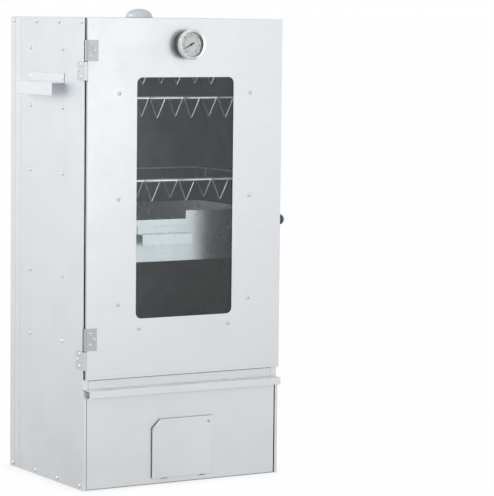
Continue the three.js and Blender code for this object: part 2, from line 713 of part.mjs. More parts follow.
function thermometerLens() {
  const { radius, depth, z } = THERMOMETER;
  return turned([
    [0, depth - 2], [radius - 2.9, depth - 2], [radius - 2.9, depth - 0.3], [0, depth - 0.2],
  ], OUTWARD, point(0, CASE_BACK, z), 28);
}

// The stem reaches through the door into the chamber.
function thermometerStem() {
  return turned([[0, -GAP], [4, -GAP], [4, -12], [3, -13], [3, -58], [0, -60]], OUTWARD,
    point(0, CASE_BACK, THERMOMETER.z), 16);
}

const POINTER_REST = THREE.MathUtils.degToRad(209);

function thermometerPointer() {
  const y = CASE_BACK - THERMOMETER.depth + 4.3;
  const needle = plate(polygon([[-6.5, -1.1], [0, -1.2], [20.5, 0], [0, 1.2], [-6.5, 1.1]]), -0.3, 0.3);
  const shaft = bar(point(0, 2.6, 0), point(0, -0.9, 0), 1, 10);
  const hub = bar(point(0, 0.5, 0), point(0, -0.8, 0), 2, 12);
  return union([needle, shaft, hub])
    .rotate([0, -THREE.MathUtils.radToDeg(POINTER_REST), 0])
    .translate([0, y, THERMOMETER.z]);
}

// ---------------------------------------------------------------- latch
const KEEPER = { arm_x: 180, reach: 25, tab_to: 186, bottom: LATCH.z - 26, top: LATCH.z - 6.5 };

// An angle spot-welded inside the door; the latch finger turns down in front of its end tab.
function latchKeeper() {
  const seat = DOOR_FACE + SHEET + GAP;
  const end = FRONT + KEEPER.reach;
  return union([
    box(164, KEEPER.arm_x, seat, seat + SHEET, LATCH.z - 26, LATCH.z + 18),
    box(KEEPER.arm_x - 1.2, KEEPER.arm_x, seat, end, KEEPER.bottom, KEEPER.top),
    box(KEEPER.arm_x - 1.2, KEEPER.tab_to, end - 1.2, end, KEEPER.bottom, KEEPER.top),
  ]);
}

const latchAt = (x) => point(x, FRONT + LATCH.depth, LATCH.z);

function latchKnob() {
  const collar = bar(latchAt(HALF + 1.4), latchAt(LATCH.ball_x), 5, 20);
  const ball = new THREE.SphereGeometry(LATCH.ball, 16, 10);
  ball.translate(LATCH.ball_x, FRONT + LATCH.depth, LATCH.z);
  const bore = bar(latchAt(HALF - 1), latchAt(LATCH.ball_x + 3), 3 + GAP, 16);
  return cut(union([collar, solid(ball)]), [bore]);
}

// The spindle through the wall and its finger, which points forward when the latch is open.
function latchSpindle() {
  const axle = FRONT + LATCH.depth;
  const finger = box(182.4, 185.4, axle - 19, axle, LATCH.z - 3.4, LATCH.z + 3.4);
  return union([
    bar(latchAt(182.4), latchAt(LATCH.ball_x + 2.6), 3, 16),
    bar(latchAt(182.4), latchAt(187), 5.2, 16),
    finger,
  ]);
}

// ---------------------------------------------------------------- fire drawer
const DRAWER_FOLD = 5;
const FLAP_STANDOFF = 2.6; // the flap swings on a spacer this far off the drawer's face
const LUG_REACH = FLAP_STANDOFF + SHEET + 1.2;

function drawerFront() {
  const { left, right, bottom, top } = DRAWER;
  const y = DRAWER_FACE;
  const back = y + DRAWER_FOLD;
  const pan = union([
    box(left, right, y, y + SHEET, bottom, top),
    box(left, left + SHEET, y, back, bottom, top),
    box(right - SHEET, right, y, back, bottom, top),
    box(left, right, y, back, bottom, bottom + SHEET),
    box(left, right, y, back, top - SHEET, top),
    box(-44, -32, y - LUG_REACH, y + SHEET, FLAP.bottom - 2.1, FLAP.bottom - 0.9),
    box(36, 46, y - LUG_REACH, y + SHEET, FLAP.bottom - 2.1, FLAP.bottom - 0.9),
  ]);
  const hole = box(FLAP_HOLE.left, FLAP_HOLE.right, y - 1, y + 2, FLAP_HOLE.bottom, FLAP_HOLE.top);
  const { x, z } = FLAP_PIVOT;
  const pivot = bar(point(x, y - 2, z), point(x, y + 3, z), 1.9, 12);
  return cut(pan, [hole, pivot]);
}

const PAN_FRONT = DRAWER_FACE + DRAWER_FOLD + GAP;
const SHELF_TOP = 4.6;
const PAN_BOTTOM = SHELF_TOP + GAP;

function drawerPan() {
  const { half, depth, top } = DRAWER_PAN;
  const y1 = PAN_FRONT + depth;
  const outer = box(-half, half, PAN_FRONT, y1, PAN_BOTTOM, top);
  const inner = half - SHEET;
  const hollow = box(-inner, inner, PAN_FRONT + SHEET, y1 - SHEET, PAN_BOTTOM + SHEET, top + 1);
  const { left, right, bottom } = FLAP_HOLE;
  const air = box(left, right, PAN_FRONT - 1, PAN_FRONT + 2, bottom, top + 1);
  return cut(outer, [hollow, air]);
}

function drawerRunner() {
  return union([
    box(DRAWER_PAN.half + 1, DRAWER_PAN.half + 2, FRONT + 6, BACK - 20, SHEET + GAP, 26),
    box(DRAWER_PAN.half - 8, DRAWER_PAN.half + 2, FRONT + 6, BACK - 20, SHEET + GAP, SHELF_TOP),
  ]);
}

// The tray that holds the sawdust: a shallow pan with partitions that make one long path.
const DUST = { half: 92, depth: 180, height: 38, lanes: 5 };

function sawdustTray() {
  const y0 = PAN_FRONT + 16;
  const y1 = y0 + DUST.depth;
  const z0 = PAN_BOTTOM + SHEET + GAP;
  const z1 = z0 + DUST.height;
  const outer = box(-DUST.half, DUST.half, y0, y1, z0, z1);
  const hollow = box(-DUST.half + SHEET, DUST.half - SHEET, y0 + SHEET, y1 - SHEET, z0 + SHEET, z1 + 1);
  const lane = (2 * DUST.half) / DUST.lanes;
  const walls = Array.from({ length: DUST.lanes - 1 }, (_, i) => {
    const x = -DUST.half + (i + 1) * lane;
    const [from, to] = i % 2 ? [y0, y1 - 30] : [y0 + 30, y1];
    return box(x - 0.5, x + 0.5, from, to, z0, z1 - 2);
  });
  return union([cut(outer, [hollow]), ...walls]);
}

function draftFlap() {
  const { left, right, bottom, top, chamfer } = FLAP;
  const y1 = DRAWER_FACE - FLAP_STANDOFF;
  const outline = polygon([
    [left, bottom], [right, bottom], [right, top], [left + chamfer, top], [left, top - chamfer],
  ]);
  const grip = polygon([
    [left, top - chamfer], [left + chamfer, top],
    [left + chamfer - 1.4, top + 0.2], [left - 0.2, top - chamfer + 1.4],
  ]);
  const { x, z } = FLAP_PIVOT;
  const pivot = bar(point(x, y1 - 3, z), point(x, y1 + 1, z), 1.9, 12);
  return cut(union([plate(outline, y1 - SHEET, y1), plate(grip, y1 - 5, y1)]), [pivot]);
}

function flapPivot() {
  const head = FLAP_STANDOFF + SHEET + GAP;
  const profile = [
    [0, -4], [3.4, -4], [3.4, -SHEET - GAP], [1.6, -SHEET - GAP], [1.6, GAP], [3.4, GAP],
    [3.4, FLAP_STANDOFF - GAP], [1.6, FLAP_STANDOFF - GAP],
    [1.6, head], [2.6, head], [1.8, head + 0.9], [0, head + 1],
  ];
  return turned(profile, OUTWARD, point(FLAP_PIVOT.x, DRAWER_FACE, FLAP_PIVOT.z), 12);
}

// ---------------------------------------------------------------- every piece by name
add('left_side_panel', leftPanel(), materials.sheet);
add('right_side_panel', rightPanel(), materials.sheet);
add('back_panel', backPanel(), materials.sheet);
add('roof_panel', roofPanel(), materials.sheet);
add('floor_panel', floorPanel(), materials.sheet);
add('sill_rail', sillRail(), materials.sheet);
add('sill_lip', sillLip(), materials.sheet);

for (const side of ['left', 'right']) {
  add(`${side}_handle`, onSide(side, sideHandle()), materials.sheet);
  add(`${side}_drawer_runner`, onSide(side, drawerRunner()), materials.sheet);
  add(`${side}_glass_strip`, onSide(side, sideStrip()), materials.sheet);
  for (const rail of RAILS) {
    add(`${side}_${rail.name}_rail`, onSide(side, rackRail(rail)), materials.sheet);
  }
}

for (const level of HOOK_BARS) {
  add(`${level.name}_hook_bar`, hookBar(level), materials.wire);
}
add('rack_frame', rackFrame(), materials.wire);
add('grease_tray', greaseTray(), materials.tray);
add('grease_tray_handle', trayHandle(), materials.tray);

add('door_panel', doorPanel(), materials.sheet);
add('window_glass', windowGlass(), materials.glass);
add('bottom_glass_strip', bottomStrip(), materials.sheet);
for (const seat of HINGE_SEATS) {
  add(`${seat.name}_hinge_door_leaf`, doorLeaf(seat.doorLeaf), materials.hinge);
  add(`${seat.name}_hinge_body_leaf`, bodyLeaf(seat.bodyLeaf), materials.hinge);
  add(`${seat.name}_hinge_pin`, hingePin(seat), materials.hinge);
}

add('thermometer_case', thermometerCase(), materials.chrome);
add('thermometer_bezel', thermometerBezel(), materials.chrome);
add('thermometer_dial', thermometerDial(), materials.dial);
add('thermometer_lens', thermometerLens(), materials.glass);
add('thermometer_stem', thermometerStem(), materials.chrome);
add('thermometer_pointer', thermometerPointer(), materials.pointer);

add('latch_keeper', latchKeeper(), materials.hinge);
add('latch_knob', latchKnob(), materials.black);
add('latch_spindle', latchSpindle(), materials.hinge);

add('drawer_front', drawerFront(), materials.sheet);
add('drawer_pan', drawerPan(), materials.sheet);
add('sawdust_tray', sawdustTray(), materials.tray);
add('draft_flap', draftFlap(), materials.sheet);
add('flap_pivot_rivet', flapPivot(), materials.hinge);

add('vent_lid', ventLid(), materials.sheet);
add('vent_pivot_rivet', ventPivot(), materials.hinge);

add('heating_element', union([heatingElement(), elementFlange()]), materials.heater);
add('thermostat', thermostatBody(), materials.hinge);
add('thermostat_dial', thermostatDial(), materials.black);
add('terminal_box', terminalBox(), materials.sheet);
add('pilot_lamp', pilotLamp(), materials.lamp);
add('appliance_inlet', applianceInlet(), materials.black);

export default model;
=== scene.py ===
"""Looks of an upright cabinet smoker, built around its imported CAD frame."""

import json
import math

import bmesh
import bpy
from mathutils import Matrix, Vector


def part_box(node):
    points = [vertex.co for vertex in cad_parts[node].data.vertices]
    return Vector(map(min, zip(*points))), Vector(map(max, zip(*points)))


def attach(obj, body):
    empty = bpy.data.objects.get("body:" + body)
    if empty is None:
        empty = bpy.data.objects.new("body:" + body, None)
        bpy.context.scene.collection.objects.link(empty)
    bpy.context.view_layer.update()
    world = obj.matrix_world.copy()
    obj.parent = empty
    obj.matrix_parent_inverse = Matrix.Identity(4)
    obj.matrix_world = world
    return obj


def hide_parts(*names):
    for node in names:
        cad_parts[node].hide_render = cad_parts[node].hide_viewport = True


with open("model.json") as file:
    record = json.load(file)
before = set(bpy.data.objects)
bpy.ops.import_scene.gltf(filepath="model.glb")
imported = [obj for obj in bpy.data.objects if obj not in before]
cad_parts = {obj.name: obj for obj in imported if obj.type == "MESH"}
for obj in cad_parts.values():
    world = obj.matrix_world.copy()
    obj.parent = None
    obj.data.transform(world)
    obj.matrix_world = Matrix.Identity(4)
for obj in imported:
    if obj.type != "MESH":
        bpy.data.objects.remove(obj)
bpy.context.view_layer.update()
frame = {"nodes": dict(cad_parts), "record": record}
MM = 0.001

# ---------------------------------------------------------------- camera
CAMERA = {
    "place": (-2.2138, -4.0426, 0.8445), "yaw": 31.068, "pitch": 5.362, "roll": 0.633,
    "lens": 182.5, "sensor": 36.0, "sight": 6000,
}


def make_camera():
    """A long lens that looks from the front left, from above the object's middle."""
    yaw, pitch, roll = (math.radians(CAMERA[key]) for key in ("yaw", "pitch", "roll"))
    forward = Vector((math.sin(yaw) * math.cos(pitch), math.cos(yaw) * math.cos(pitch), -math.sin(pitch)))
    right = Vector((math.cos(yaw), -math.sin(yaw), 0))
    up = right.cross(forward)
    tilted_right = right * math.cos(roll) + up * math.sin(roll)
    tilted_up = up * math.cos(roll) - right * math.sin(roll)
    data = bpy.data.cameras.new("view")
    data.sensor_width = CAMERA["sensor"]
    data.lens = CAMERA["lens"]
    data.clip_end = CAMERA["sight"]
    camera = bpy.data.objects.new("view", data)
    turn = Matrix((tilted_right, tilted_up, -forward)).transposed().to_4x4()
    camera.matrix_world = Matrix.Translation(CAMERA["place"]) @ turn
    bpy.context.collection.objects.link(camera)
    bpy.context.scene.camera = camera


make_camera()


# ---------------------------------------------------------------- node helpers
class Surface:
    """One Principled material and short ways to wire its nodes."""

    def __init__(self, name):
        self.material = bpy.data.materials.new(name)
        self.material.use_nodes = True
        self.tree = self.material.node_tree
        self.bsdf = self.tree.nodes["Principled BSDF"]
        self.coord = self.node("ShaderNodeTexCoord").outputs["Object"]

    def node(self, kind, inputs=(), **settings):
        node = self.tree.nodes.new(kind)
        for key, value in settings.items():
            setattr(node, key, value)
        for key, value in dict(inputs).items():
            self.feed(node.inputs[key], value)
        return node

    def feed(self, socket, value):
        if isinstance(value, bpy.types.NodeSocket):
            self.tree.links.new(value, socket)
        else:
            socket.default_value = value

    def set(self, **values):
        for key, value in values.items():
            self.feed(self.bsdf.inputs[key.replace("_", " ")], value)

    def stretched(self, scale):
        return self.node("ShaderNodeMapping", {"Vector": self.coord, "Scale": scale}).outputs[0]

    def noise(self, scale, detail=2.0, rough=0.5, vector=None):
        return self.node("ShaderNodeTexNoise", {
            "Vector": vector or self.coord, "Scale": scale, "Detail": detail, "Roughness": rough,
        }).outputs["Fac"]

    def cells(self, scale):
        """A random value for each crystal of a spangled coating."""
        cell = self.node("ShaderNodeTexVoronoi", {"Vector": self.coord, "Scale": scale})
        return self.node("ShaderNodeSeparateColor", {"Color": cell.outputs["Color"]}).outputs[0]

    def remap(self, value, low, high, to_low, to_high):
        return self.node("ShaderNodeMapRange", {
            "Value": value, "From Min": low, "From Max": high, "To Min": to_low, "To Max": to_high,
        }).outputs[0]

    def math(self, operation, a, b=0.0):
        node = self.node("ShaderNodeMath", operation=operation)
        self.feed(node.inputs[0], a)
        self.feed(node.inputs[1], b)
        return node.outputs[0]

    def mix(self, fac, a, b, blend="MIX"):
        node = self.node("ShaderNodeMix", data_type="RGBA", blend_type=blend)
        self.feed(node.inputs["Factor"], fac)
        self.feed(node.inputs[6], (*a, 1) if isinstance(a, tuple) else a)
        self.feed(node.inputs[7], (*b, 1) if isinstance(b, tuple) else b)
        return node.outputs[2]

    def edges(self, radius):
        """Softened normals at folded edges, and a mask that is 1 on those edges."""
        soft = self.node("ShaderNodeBevel", {"Radius": radius}, samples=4).outputs[0]
        flat = self.node("ShaderNodeNewGeometry").outputs["Normal"]
        same = self.node("ShaderNodeVectorMath", operation="DOT_PRODUCT")
        self.feed(same.inputs[0], soft)
        self.feed(same.inputs[1], flat)
        return soft, self.remap(same.outputs["Value"], 0.99, 0.86, 0.0, 1.0)

    def crevice(self, reach, darkest):
        """A painted shade: a factor that falls to darkest in narrow gaps and inner corners."""
        open_sky = self.node("ShaderNodeAmbientOcclusion", {"Distance": reach}, samples=6).outputs["AO"]
        return self.remap(open_sky, 0.08, 0.46, darkest, 1.0)

    def within(self, low, high):
        """1 where the surface lies between two corners, in metres, and 0 elsewhere."""
        place = self.node("ShaderNodeSeparateXYZ", {"Vector": self.coord}).outputs
        inside = 1.0
        for axis in range(3):
            inside = self.math("MULTIPLY", self.math("GREATER_THAN", place[axis], low[axis]), inside)
            inside = self.math("MULTIPLY", self.math("LESS_THAN", place[axis], high[axis]), inside)
        return inside

    def bump(self, height, strength, distance, normal=None):
        node = self.node("ShaderNodeBump", {"Height": height, "Strength": strength, "Distance": distance})
        if normal:
            self.feed(node.inputs["Normal"], normal)
        return node.outputs[0]


BLACK = (0.0, 0.0, 0.0)
# Painted shade: a pale and a deep grey-blue for the inside of the chamber and of the door.
INSIDE_SHADE_PALE, INSIDE_SHADE_DEEP = (0.305, 0.346, 0.37), (0.232, 0.262, 0.28)
# Near-black painted shadow for the gap between the side wall's front edge and the door.
GAP_SHADOW = (0.03, 0.031, 0.033)
CREVICE_SHADE_REACH = 0.009


def shade(colour, factor):
    """A lighter or darker colour, kept within 1."""
    return tuple(min(1.0, channel * factor) for channel in colour)


def sheet_metal(name, colour, rough, metallic, spangle=0.05, streak=0.06, wear=0.3, edge=0.0009,
                grain=(1, 1, 22), shaded_inside=None, gap_shadowed=None, crevice=0.12):
    """Rolled sheet: crystals of the zinc coat, faint rolling lines, smudges, dents and rubbed edges.

    A mottled grey-blue painted shade lies in the inside box, a near-black painted shadow in the gap box, and
    painted shade in narrow gaps and inner corners.
    """
    s = Surface(name)
    normal, rubbed = s.edges(edge)
    crystals = s.cells(130)
    lines = s.noise(9, 4, 0.6, s.stretched(grain))
    clouds = s.noise(3.2, 3, 0.55)
    smudge = s.noise(17, 5, 0.62)
    tone = s.mix(s.remap(clouds, 0.3, 0.7, 0, 1), shade(colour, 0.965), shade(colour, 1.02))
    tone = s.mix(s.math("MULTIPLY", crystals, spangle), tone, shade(colour, 0.72))
    tone = s.mix(s.math("MULTIPLY", s.remap(lines, 0.35, 0.75, 0, 1), streak), tone, shade(colour, 0.8))
    marks = s.math("MULTIPLY", rubbed, s.remap(smudge, 0.35, 0.6, 0.2, wear))
    tone = s.mix(marks, tone, shade(colour, 1.12))
    base = s.remap(smudge, 0.3, 0.75, rough * 0.82, rough * 1.25)
    # Painted shade inside: a mottled grey-blue over the given box, with a little more roughness.
    if shaded_inside:
        film = s.within(*shaded_inside)
        tone = s.mix(film, tone, s.mix(s.remap(smudge, 0.3, 0.7, 0, 1), INSIDE_SHADE_PALE, INSIDE_SHADE_DEEP))
        base = s.math("ADD", base, s.math("MULTIPLY", film, 0.12))
    # Painted shadow: near black over the box of the gap behind the door's edge.
    if gap_shadowed:
        tone = s.mix(s.within(*gap_shadowed), tone, GAP_SHADOW)
    # Painted shade in narrow gaps and inner corners, from ambient occlusion.
    tone = s.mix(s.crevice(CREVICE_SHADE_REACH, crevice), BLACK, tone)
    s.set(Base_Color=tone, Metallic=metallic)
    s.set(Roughness=s.math("ADD", base, s.math("MULTIPLY", crystals, 0.05)))
    dents = s.bump(s.noise(5.5, 1), 0.25, 0.0016, normal)
    fine = s.bump(s.math("ADD", s.noise(620, 2), s.math("MULTIPLY", lines, 0.5)), 0.06, 0.0001, dents)
    s.set(Normal=fine)
    return s.material


def bright_metal(name, colour, rough, scratch=1.0, metallic=1.0):
    """Plated or drawn metal with fine scratches and a little dulling."""
    s = Surface(name)
    film = s.noise(60, 4, 0.6)
    s.set(Base_Color=s.mix(s.remap(film, 0.3, 0.7, 0, 1), shade(colour, 0.9), colour), Metallic=metallic)
    s.set(Roughness=s.remap(s.noise(240, 5, 0.65), 0.25, 0.75, rough * 0.7, rough * 1.6))
    s.set(Normal=s.bump(s.noise(900, 3), 0.05 * scratch, 0.0001))
    return s.material


def moulded(name, colour, rough, coat=0.0, wear=0.4):
    """Moulded or lacquered surface: fine orange peel, dust and paler worn edges."""
    s = Surface(name)
    normal, rubbed = s.edges(0.0006)
    dust = s.noise(85, 5, 0.6)
    tone = s.mix(s.remap(dust, 0.45, 0.8, 0, 0.35), colour, tuple(0.7 * c + 0.09 for c in colour))
    s.set(Base_Color=s.mix(s.math("MULTIPLY", rubbed, wear), tone, tuple(0.8 * c + 0.12 for c in colour)))
    s.set(Roughness=s.remap(dust, 0.3, 0.8, rough * 0.8, rough * 1.5), Coat_Weight=coat, Coat_Roughness=0.08)
    s.set(Normal=s.bump(s.noise(420, 2), 0.08, 0.0002, normal))
    return s.material


def clear_glass(name, tint, rough=0.015):
    """Thin glass with faint smears that lets lamps through."""
    s = Surface(name)
    smear = s.noise(14, 4, 0.6, s.stretched((1, 1, 0.35)))
    s.set(Base_Color=s.mix(s.remap(smear, 0.35, 0.7, 0, 1), tint, shade(tint, 0.93)))
    s.set(Roughness=s.remap(smear, 0.4, 0.8, rough, rough * 4), Transmission_Weight=1.0, IOR=1.46)
    lamp = s.node("ShaderNodeLightPath").outputs["Is Shadow Ray"]
    open_glass = s.node("ShaderNodeBsdfTransparent", {"Color": (*shade(tint, 0.95), 1)}).outputs[0]
    both = s.node("ShaderNodeMixShader", {"Fac": lamp, 1: s.bsdf.outputs[0], 2: open_glass}).outputs[0]
    s.feed(s.tree.nodes["Material Output"].inputs["Surface"], both)
    return s.material


# Boxes, in metres, where shade is painted: the chamber's inner faces, the frame behind the door's edge, the
# door's inner face.
CHAMBER = ((-0.1995, -0.1437, 0.1785), (0.1995, 0.1435, 0.8315))
DOOR_GAP = ((-0.1979, -0.1446, 0.1972), (0.1979, -0.1437, 0.8315))
DOOR_INSIDE = ((-0.1945, -0.1515, 0.198), (0.1985, -0.1400, 0.8305))
PALE_SHEET = (0.80, 0.828, 0.85)
LOOKS = {
    "sheet": sheet_metal("galvanised_sheet", PALE_SHEET, 0.36, 0.82, shaded_inside=CHAMBER),
    "tray": sheet_metal("bright_sheet", (0.92, 0.925, 0.93), 0.27, 0.9, spangle=0.02, streak=0.12,
                        grain=(22, 1, 1)),
    "hinge": sheet_metal("zinc_plate", (0.52, 0.53, 0.54), 0.4, 0.9, spangle=0.03, streak=0.05),
    "wire": bright_metal("drawn_wire", (0.95, 0.955, 0.96), 0.3, metallic=0.25),
    "chrome": bright_metal("polished_chrome", (0.86, 0.87, 0.88), 0.06, scratch=0.4),
    "heater": sheet_metal("scaled_sheath", (0.10, 0.092, 0.085), 0.55, 0.7, spangle=0.02, streak=0.4,
                          wear=0.2),
    "dial": moulded("dial_enamel", (0.95, 0.95, 0.94), 0.4, wear=0.0),
    "black": moulded("black_phenolic", (0.018, 0.018, 0.02), 0.22, coat=0.6, wear=0.15),
    "pointer": moulded("pointer_paint", (0.02, 0.02, 0.022), 0.45, wear=0.1),
    "lamp": moulded("red_lens", (0.55, 0.06, 0.02), 0.15, coat=0.8, wear=0.1),
    "glass": clear_glass("door_glass", (0.885, 0.935, 0.95)),
}
DOOR_SHEET = sheet_metal("door_sheet", (0.80, 0.818, 0.833), 0.36, 0.82, shaded_inside=DOOR_INSIDE)
SIDE_SHEET = sheet_metal("side_sheet", PALE_SHEET, 0.36, 0.82, shaded_inside=CHAMBER, gap_shadowed=DOOR_GAP)
BACK_SHEET = sheet_metal("back_sheet", PALE_SHEET, 0.36, 0.82, wear=0.0, edge=0.0001, shaded_inside=CHAMBER,
                         crevice=0.9)
# The hinge's zinc plate for the leaves on the side wall, in a paler tone that is painted light.
BODY_LEAF = sheet_metal("pale_leaf", (0.70, 0.715, 0.73), 0.36, 0.85)
GAUGE_SHELL = sheet_metal("gauge_shell", (0.07, 0.072, 0.075), 0.34, 0.5, spangle=0.0, streak=0.1,
                          grain=(1, 22, 1))
RIVET_METAL = sheet_metal("rivet_aluminium", (0.82, 0.84, 0.855), 0.3, 0.85, spangle=0.0, streak=0.02,
                          crevice=0.3)
VENT_SHEET = sheet_metal("vent_sheet", (0.62, 0.64, 0.655), 0.5, 0.45, spangle=0.03, streak=0.02)
# The handles' lighter copy of the sheet is painted light.
HANDLE_SHEET = sheet_metal("handle_sheet", (0.85, 0.868, 0.885), 0.33, 0.75, spangle=0.03, crevice=0.4)
OWN_LOOKS = {
    "door_panel": DOOR_SHEET, "bottom_glass_strip": DOOR_SHEET, "back_panel": BACK_SHEET,
    **{f"{side}_glass_strip": DOOR_SHEET for side in ("left", "right")},
    **{f"{side}_side_panel": SIDE_SHEET for side in ("left", "right")},
    **{f"{side}_handle": HANDLE_SHEET for side in ("left", "right")},
    **{f"{place}_hinge_body_leaf": BODY_LEAF for place in ("upper", "lower")},
}

for entry in frame["record"]["subparts"]:
    materials = frame["nodes"][entry["node"]].data.materials
    materials.clear()
    materials.append(OWN_LOOKS.get(entry["node"], LOOKS[entry["material_slot"]]))


# ---------------------------------------------------------------- mesh helpers
def piece(name, mesh, body, slot, replaces=(), look=None, crease=35):
    """Makes a mesh an object of the visual model."""
    mesh.shade_smooth()
    mesh.set_sharp_from_angle(angle=math.radians(crease))
    mesh.materials.append(look or LOOKS[slot])
    obj = bpy.data.objects.new(name, mesh)
    bpy.context.collection.objects.link(obj)
    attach(obj, body)
    if replaces:
        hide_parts(*replaces)
    return obj


SAME_PLACE = 1e-7


def build(name, fill):
    """A mesh made by fill, which adds its faces to a bmesh."""
    bm = bmesh.new()
    fill(bm)
    bmesh.ops.remove_doubles(bm, verts=bm.verts, dist=SAME_PLACE)
    bmesh.ops.recalc_face_normals(bm, faces=bm.faces)
    mesh = bpy.data.meshes.new(name)
    bm.to_mesh(mesh)
    bm.free()
    return mesh


def ways_round(side, other, count):
    """The directions of a ring's points, from side towards other."""
    turns = (2 * math.pi * i / count for i in range(count))
    return [side * math.cos(turn) + other * math.sin(turn) for turn in turns]


def add_lathe(bm, profile, centre, axis, sides=72):
    """Turns (radius, height) pairs, in millimetres, about axis through centre."""
    axis = Vector(axis)
    side = axis.orthogonal().normalized()
    other = axis.cross(side)
    rings = []
    for radius, height in profile:
        middle = Vector(centre) + axis * height * MM
        if radius == 0:
            rings.append([bm.verts.new(middle)] * sides)
            continue
        rings.append([bm.verts.new(middle + way * radius * MM) for way in ways_round(side, other, sides)])
    for low, high in zip(rings, rings[1:]):
        for i in range(sides):
            j = (i + 1) % sides
            corners = list(dict.fromkeys((low[i], low[j], high[j], high[i])))
            if len(corners) > 2:
                bm.faces.new(corners)


def rounded(points, radius, steps=6):
    """The points of a path whose corners are bent to a radius."""
    path = [Vector(p) for p in points]
    bent = [path[0]]
    for before, corner, after in zip(path, path[1:], path[2:]):
        start = (before - corner).normalized()
        end = (after - corner).normalized()
        reach = min(radius, (before - corner).length * 0.45, (after - corner).length * 0.45)
        a, b = corner + start * reach, corner + end * reach
        for i in range(steps + 1):
            t = i / steps
            bent.append(a * (1 - t) ** 2 + corner * 2 * t * (1 - t) + b * t ** 2)
    bent.append(path[-1])
    return bent


def add_tube(bm, points, radius, sides=12, taper=()):
    """A round bar along points, in metres; taper gives the radius share at the first and last points."""
    path = [Vector(p) for p in points]
    tangent = (path[1] - path[0]).normalized()
    side = tangent.orthogonal().normalized()
    rings = []
    for i, place in enumerate(path):
        ahead = (path[min(i + 1, len(path) - 1)] - path[max(i - 1, 0)]).normalized()
        side = tangent.rotation_difference(ahead) @ side
        tangent = ahead
        other = tangent.cross(side)
        share = 1
        if taper and i == 0:
            share = taper[0]
        elif taper and i == len(path) - 1:
            share = taper[1]
        rings.append([bm.verts.new(place + way * radius * share) for way in ways_round(side, other, sides)])
    for low, high in zip(rings, rings[1:]):
        for k in range(sides):
            bm.faces.new((low[k], low[(k + 1) % sides], high[(k + 1) % sides], high[k]))
    bm.faces.new(rings[0][::-1])
    bm.faces.new(rings[-1])


def add_slab(bm, low, high, bevel=0.0):
    """A box between two corners, in metres; bevel rounds its edges."""
    size = Vector(high) - Vector(low)
    place = Matrix.Translation((Vector(high) + Vector(low)) / 2) @ Matrix.Diagonal((*size, 1))
    made = bmesh.ops.create_cube(bm, size=1, matrix=place)
    if bevel:
        edges = list({edge for vert in made["verts"] for edge in vert.link_edges})
        bmesh.ops.bevel(bm, geom=edges, offset=bevel, segments=3, profile=0.5, affect="EDGES")


def add_outline(bm, corners):
    """One flat face."""
    bm.faces.new([bm.verts.new(corner) for corner in corners])


# ---------------------------------------------------------------- thermometer
FORWARD, REARWARD, UP = (0, -1, 0), (0, 1, 0), (0, 0, 1)
CASE_LOW, CASE_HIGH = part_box("thermometer_case")
GAUGE = Vector((0, CASE_HIGH[1], (CASE_LOW[2] + CASE_HIGH[2]) / 2))
GAUGE_R = 26.0
GAUGE_WALL = 1.2
GAUGE_DEPTH = 21.5
DIAL_R, DIAL_HEIGHT = GAUGE_R - 2.8, GAUGE_DEPTH - 5.5
PANE_R = GAUGE_R - 2.9
DIAL_FACE = GAUGE.y - DIAL_HEIGHT * MM


def thermometer():
    """Case, bezel, dial and glass, each turned about the gauge's axis."""
    wall = GAUGE_R - GAUGE_WALL
    case = [(0, 0), (wall - 3, 0), (wall - 0.9, 0.6), (wall, 2), (wall, GAUGE_DEPTH),
            (wall - GAUGE_WALL, GAUGE_DEPTH), (wall - GAUGE_WALL, 2.5), (0, 2.5)]
    inner = wall + 0.3
    top = GAUGE_DEPTH + 2.4
    skirt = GAUGE_DEPTH - 6
    bezel = [(inner, skirt), (GAUGE_R + 0.3, skirt), (GAUGE_R + 0.6, skirt + 0.4), (GAUGE_R + 0.6, top - 2.1),
             (GAUGE_R + 0.2, top - 0.9), (GAUGE_R - 0.7, top - 0.1), (GAUGE_R - 1.6, top - 0.15),
             (GAUGE_R - 3.4, top - 0.8), (GAUGE_R - 4, top - 1.1), (GAUGE_R - 4, GAUGE_DEPTH + 0.3),
             (inner, GAUGE_DEPTH + 0.3), (inner, skirt)]
    dial = [(0, DIAL_HEIGHT - 1), (DIAL_R, DIAL_HEIGHT - 1), (DIAL_R, DIAL_HEIGHT), (0, DIAL_HEIGHT)]
    pane = GAUGE_DEPTH - 2
    lens = [(0, pane), (PANE_R, pane), (PANE_R, pane + 1.4), (GAUGE_R - 8, pane + 1.7),
            (GAUGE_R - 16, pane + 1.8), (0, pane + 1.8)]
    for part, profile, slot, look in (
        ("case", case, "chrome", GAUGE_SHELL), ("bezel", bezel, "chrome", None),
        ("dial", dial, "dial", None), ("lens", lens, "glass", GAUGE_GLASS),
    ):
        mesh = build(f"gauge_{part}", lambda bm: add_lathe(bm, profile, GAUGE, FORWARD, 96))
        piece(f"gauge_{part}", mesh, "door", slot, (f"thermometer_{part}",), look)


def on_dial(radius, angle, lift=0.06):
    """A place on the dial; angle is in degrees, clockwise from the top as seen from the front."""
    turn = math.radians(angle)
    across, up = radius * math.sin(turn) * MM, radius * math.cos(turn) * MM
    return Vector((across, DIAL_FACE - lift * MM, GAUGE.z + up))


INK = 0.00004


def add_text(bm, text, size, place, turn, facing):
    """Flat lettering centred on place, in the plane whose outward normal is facing."""
    data = bpy.data.curves.new("number", "FONT")
    data.body = text
    data.size = size
    data.align_x = "CENTER"
    data.align_y = "CENTER"
    data.extrude = INK
    holder = bpy.data.objects.new("number", data)
    mesh = bpy.data.meshes.new_from_object(holder)
    right = Vector(UP).cross(Vector(facing))
    axes = Matrix((right, UP, facing)).transposed().to_4x4()
    mesh.transform(Matrix.Translation(place) @ axes @ Matrix.Rotation(turn, 4, "Z"))
    bm.from_mesh(mesh)
    bpy.data.meshes.remove(mesh)
    bpy.data.objects.remove(holder)
    bpy.data.curves.remove(data)


